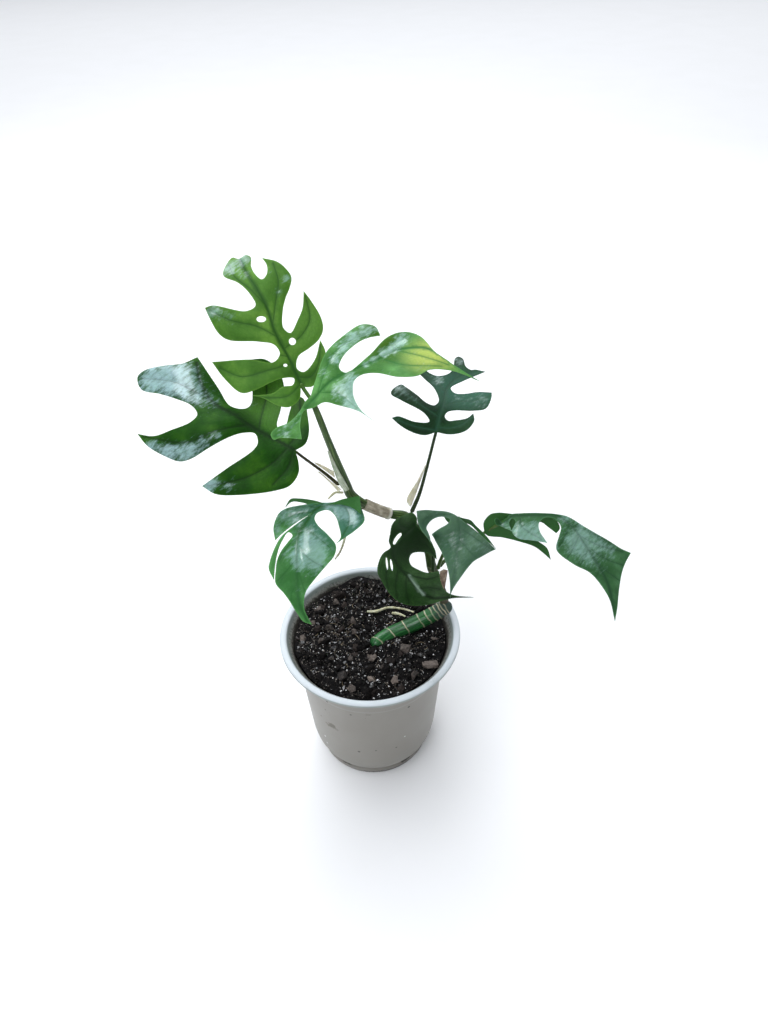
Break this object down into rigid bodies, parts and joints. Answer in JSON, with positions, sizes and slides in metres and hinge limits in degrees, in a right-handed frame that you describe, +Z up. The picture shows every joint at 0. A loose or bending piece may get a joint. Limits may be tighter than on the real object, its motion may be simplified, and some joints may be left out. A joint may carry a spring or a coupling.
{
  "type": "potted climbing plant",
  "caption": "Small climbing houseplant with split, drooping leaves on a bent vine, growing from a lying cane in a round plastic nursery pot filled with potting mix.",
  "frame": {"origin": "centre of the pot's flat underside", "axes": "+Z up out of the pot, -Y towards the front of the picture, +X to the right of the picture"},
  "size_m": [0.3193, 0.1825, 0.3597],
  "materials": {
    "pot": "off-white moulded plastic, dirty in places",
    "soil": "dark potting mix with bark and white grit",
    "old_cane": "smooth green skin with pale ring scars",
    "vine": "smooth olive green skin",
    "leaf_light": "glossy mid green blade",
    "leaf_dark": "dark green blade",
    "leaf_bluish": "satin blue green blade",
    "sheath_cream": "dry cream wing",
    "sheath_green": "grey green sheath",
    "sheath_tan": "dry tan skin",
    "root": "pale dry root"
  },
  "bodies": {
    "root": {"pot": "pot", "soil": "soil", "old_cane": "old_cane", "vine": "vine", "leaf_a": "leaf_light", "leaf_b": "leaf_light", "leaf_c": "leaf_bluish", "leaf_d": "leaf_dark", "leaf_e": "leaf_bluish", "leaf_f": "leaf_dark", "leaf_g": "leaf_bluish", "leaf_h": "leaf_bluish", "wing_d": "sheath_cream", "wing_b_upper": "sheath_cream", "wing_b_lower": "sheath_cream", "shoot_sheath": "sheath_green", "bract": "sheath_tan", "vine_sleeve": "sheath_tan", "root_hanging": "root", "root_tip": "root", "root_soil_long": "root", "root_soil_short": "root"}
  },
  "joints": []
}
